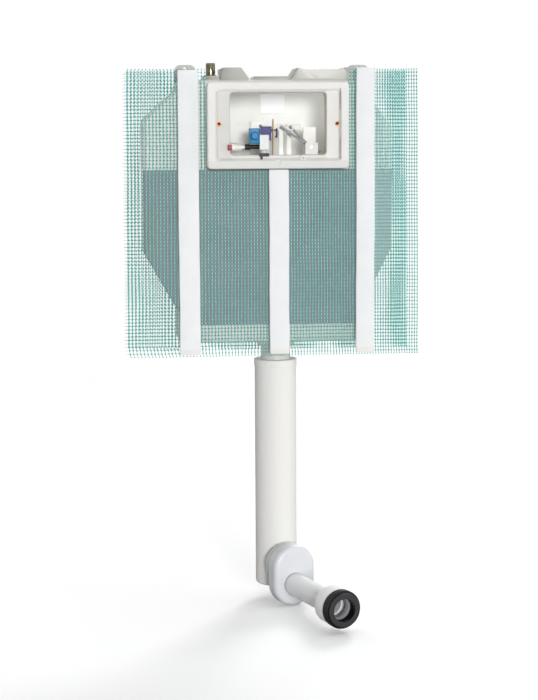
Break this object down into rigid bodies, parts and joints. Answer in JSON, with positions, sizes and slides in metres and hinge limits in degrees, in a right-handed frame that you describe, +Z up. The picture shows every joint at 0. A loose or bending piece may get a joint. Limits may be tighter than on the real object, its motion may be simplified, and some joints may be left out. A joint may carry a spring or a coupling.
{
  "type": "concealed toilet cistern",
  "caption": "Flat in-wall toilet cistern with plaster nets, open access frame, dual-flush mechanism and an insulated flush pipe with an offset outlet.",
  "frame": {"origin": "midway between the two wall fixing holes, on the plane of the tank's back", "axes": "+X to the right seen from the front, +Y into the wall, +Z up"},
  "size_m": [0.5, 0.3099, 0.9423],
  "materials": {
    "tank_shell": "satin blow-moulded polyethylene",
    "foam_dark": "closed-cell foam sheet",
    "net_green": "coated glass-fibre net",
    "foam_white": "white foam",
    "frame_white": "satin moulded plastic",
    "brass": "turned brass",
    "plated": "nickel-plated brass",
    "label": "blank card",
    "rubber_black": "moulded rubber",
    "red_plastic": "moulded plastic",
    "hose_white": "extruded plastic",
    "black_plastic": "moulded plastic",
    "pale_plastic": "moulded plastic",
    "blue_plastic": "moulded plastic",
    "purple_plastic": "moulded plastic",
    "tan_plastic": "moulded plastic",
    "white_plastic": "moulded plastic",
    "grey_plastic": "moulded plastic",
    "steel": "stainless steel",
    "pipe_white": "extruded and moulded plastic"
  },
  "bodies": {
    "cistern": {"tank": "tank_shell", "front_insulation": "foam_dark", "front_net": "net_green", "rear_net": "net_green", "strip_left": "foam_white", "strip_centre": "foam_white", "strip_right": "foam_white", "access_frame": "frame_white", "plate_inserts": "brass", "edge_clip": "black_plastic", "label_plate": "label", "inlet_spigot": "plated", "inlet_washer": "rubber_black", "inlet_locknut": "brass", "supply_tube": "hose_white", "tube_nuts": "white_plastic", "stop_valve_body": "white_plastic", "supply_hose": "hose_white", "hose_nut": "black_plastic", "fill_valve_body": "pale_plastic", "fill_valve_head": "blue_plastic", "fill_holder": "white_plastic", "holder_screws": "steel", "arm_pin": "steel", "flush_valve_base": "white_plastic", "base_gasket": "rubber_black", "outlet_locknut": "white_plastic", "flush_valve_cage": "white_plastic", "lever_bearing": "white_plastic", "bearing_screws": "steel", "lever_pin": "steel", "neck_seal": "rubber_black"},
    "stop_knob": {"stop_valve_knob": "red_plastic"},
    "float_group": {"float": "pale_plastic", "float_link": "tan_plastic"},
    "float_lever": {"float_arm": "purple_plastic", "arm_clip": "black_plastic"},
    "full_lift": {"overflow_tube": "pale_plastic", "flush_seal": "rubber_black", "full_lift_rod": "white_plastic"},
    "half_lift": {"half_flush_float": "blue_plastic", "half_lift_rod": "white_plastic"},
    "full_lever": {"full_flush_lever": "grey_plastic"},
    "half_lever": {"half_flush_lever": "grey_plastic"},
    "down_pipe": {"flush_pipe": "pipe_white", "pipe_sleeve": "foam_white", "port_collar": "pipe_white"},
    "coupling": {"offset_coupling": "pipe_white", "coupling_seals": "rubber_black"},
    "outlet": {"outlet_pipe": "pipe_white", "pan_seal": "rubber_black"}
  },
  "joints": [
    {"name": "stop_valve_turn", "type": "hinge", "parent": "cistern", "child": "stop_knob", "pos_m": [-0.077, -0.08, -0.136], "axis": [0, 1, 0], "range_deg": [0, 90]},
    {"name": "float_rise", "type": "slide", "parent": "cistern", "child": "float_group", "axis": [0, 0, 1], "range_m": [0, 0.0068]},
    {"name": "float_arm_turn", "type": "hinge", "parent": "cistern", "child": "float_lever", "pos_m": [-0.023, -0.06, -0.107], "axis": [0, -1, 0], "range_deg": [0, 20]},
    {"name": "full_valve_lift", "type": "slide", "parent": "cistern", "child": "full_lift", "axis": [0, 0, 1], "range_m": [0, 0.0152]},
    {"name": "half_valve_lift", "type": "slide", "parent": "cistern", "child": "half_lift", "axis": [0, 0, 1], "range_m": [0, 0.0094]},
    {"name": "full_lever_turn", "type": "hinge", "parent": "cistern", "child": "full_lever", "pos_m": [0.06, -0.074, -0.136], "axis": [0, 1, 0], "range_deg": [0, 20]},
    {"name": "half_lever_turn", "type": "hinge", "parent": "cistern", "child": "half_lever", "pos_m": [0.06, -0.062, -0.136], "axis": [0, 1, 0], "range_deg": [0, 20]},
    {"name": "pipe_swivel", "type": "hinge", "parent": "cistern", "child": "down_pipe", "pos_m": [0, -0.048, -0.515], "axis": [0, 0, 1], "continuous": true},
    {"name": "coupling_turn", "type": "hinge", "parent": "down_pipe", "child": "coupling", "pos_m": [0.01693, -0.09717, -0.867], "axis": [0.3256, -0.9455, 0], "continuous": true},
    {"name": "outlet_slide", "type": "slide", "parent": "coupling", "child": "outlet", "axis": [0.3256, -0.9455, 0], "range_m": [0, 0.01]}
  ],
  "couplings": [
    {"joint": "float_arm_turn", "follows": "float_rise", "rad_per_m": 50.7},
    {"joint": "full_lever_turn", "follows": "full_valve_lift", "rad_per_m": 22.83},
    {"joint": "half_lever_turn", "follows": "half_valve_lift", "rad_per_m": 36.9}
  ]
}
